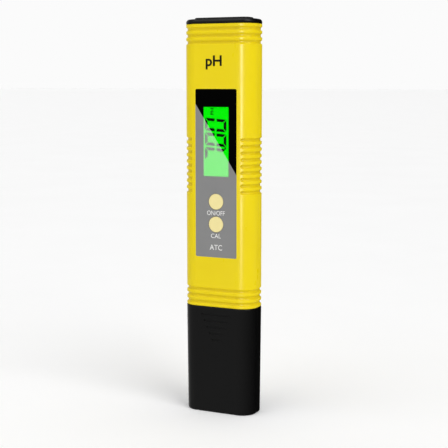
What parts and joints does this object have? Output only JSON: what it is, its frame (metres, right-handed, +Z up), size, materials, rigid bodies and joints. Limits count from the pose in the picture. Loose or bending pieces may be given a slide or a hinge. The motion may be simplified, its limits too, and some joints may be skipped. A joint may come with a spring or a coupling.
{
  "type": "pen-type digital pH meter",
  "caption": "Pen-type digital pH meter: yellow ribbed sleeve, backlit display, push buttons, pull-off battery cover and black cap over a guarded glass electrode.",
  "frame": {"origin": "centre of the protective cap's bottom face, on which the meter stands", "axes": "+Z up the body from cap to battery cover, display and buttons face -Y, +X is the right side seen from the front"},
  "size_m": [0.0302, 0.015, 0.1558],
  "materials": {
    "yellow_shell": "satin moulded ABS",
    "black_shell": "fine-textured moulded ABS",
    "label_film": "glossy printed film",
    "clear_lens": "clear acrylic",
    "button_cream": "soft satin moulding",
    "lcd_glass": "bonded plates",
    "lcd_film": "polarising film lit from behind",
    "light_guide": "translucent",
    "led_body": "clear resin",
    "white_moulding": "moulded ABS",
    "contact_rubber": "layered conductive rubber",
    "board_green": "solder mask",
    "switch_black": "moulded",
    "plunger_brown": "moulded",
    "chip_black": "moulded epoxy",
    "component_tan": "fired",
    "resistor_black": "fired",
    "bright_can": "drawn",
    "spring_steel": "nickel plated",
    "cell_steel": "nickel plated",
    "seal_rubber": "moulded",
    "probe_black": "moulded ABS",
    "electrode_glass": "blown",
    "silver_wire": "drawn",
    "porous_white": "porous",
    "probe_steel": "drawn",
    "resin": "cast epoxy",
    "wire_clear": "extruded",
    "wire_blue": "extruded",
    "wire_red": "extruded",
    "sponge": "open-cell foam"
  },
  "bodies": {
    "meter": {"housing": "yellow_shell", "label_overlay": "label_film", "display_window": "clear_lens", "lcd_panel": "lcd_glass", "lcd_polarisers": "lcd_film", "lcd_backlight": "light_guide", "backlight_leds": "led_body", "lcd_frame": "white_moulding", "lcd_connector_strip": "contact_rubber", "main_board": "board_green", "switch_bodies": "switch_black", "controller_chip": "chip_black", "amplifier_chip": "chip_black", "crystal": "bright_can", "capacitors": "component_tan", "resistors": "resistor_black", "battery_contact_left": "spring_steel", "battery_contact_right": "spring_steel", "probe_collar": "probe_black", "collar_seal": "seal_rubber", "cap_seal_ring": "seal_rubber", "probe_stem": "probe_black", "glass_electrode": "electrode_glass", "inner_electrode": "silver_wire", "reference_electrode": "silver_wire", "reference_junction": "porous_white", "temperature_probe": "probe_steel", "electrode_seat": "resin", "lead_potting": "resin", "glass_lead": "wire_clear", "reference_lead": "wire_blue", "thermistor_lead": "wire_red"},
    "battery_pack": {"battery_cover": "black_shell", "cover_gasket": "seal_rubber", "battery_tray": "black_shell", "battery_cell_left": "cell_steel", "battery_cell_right": "cell_steel", "cell_link_strip": "spring_steel"},
    "cap": {"protective_cap": "black_shell", "storage_sponge": "sponge"},
    "on_off_key": {"on_off_button": "button_cream"},
    "cal_key": {"cal_button": "button_cream"},
    "on_off_switch": {"on_off_plunger": "plunger_brown"},
    "cal_switch": {"cal_plunger": "plunger_brown"}
  },
  "joints": [
    {"name": "cap_pull", "type": "slide", "parent": "cap", "child": "meter", "axis": [0, 0, 1], "range_m": [0, 0.045]},
    {"name": "battery_cover_pull", "type": "slide", "parent": "meter", "child": "battery_pack", "axis": [0, 0, 1], "range_m": [0, 0.025]},
    {"name": "on_off_press", "type": "slide", "parent": "meter", "child": "on_off_key", "axis": [0, 1, 0], "range_m": [0, 0.0003], "stiffness_N_per_m": 800},
    {"name": "cal_press", "type": "slide", "parent": "meter", "child": "cal_key", "axis": [0, 1, 0], "range_m": [0, 0.0003], "stiffness_N_per_m": 800},
    {"name": "on_off_switch_travel", "type": "slide", "parent": "meter", "child": "on_off_switch", "axis": [0, 1, 0], "range_m": [0, 0.0003]},
    {"name": "cal_switch_travel", "type": "slide", "parent": "meter", "child": "cal_switch", "axis": [0, 1, 0], "range_m": [0, 0.0003]}
  ],
  "couplings": [
    {"joint": "on_off_switch_travel", "follows": "on_off_press", "ratio": 1},
    {"joint": "cal_switch_travel", "follows": "cal_press", "ratio": 1}
  ]
}
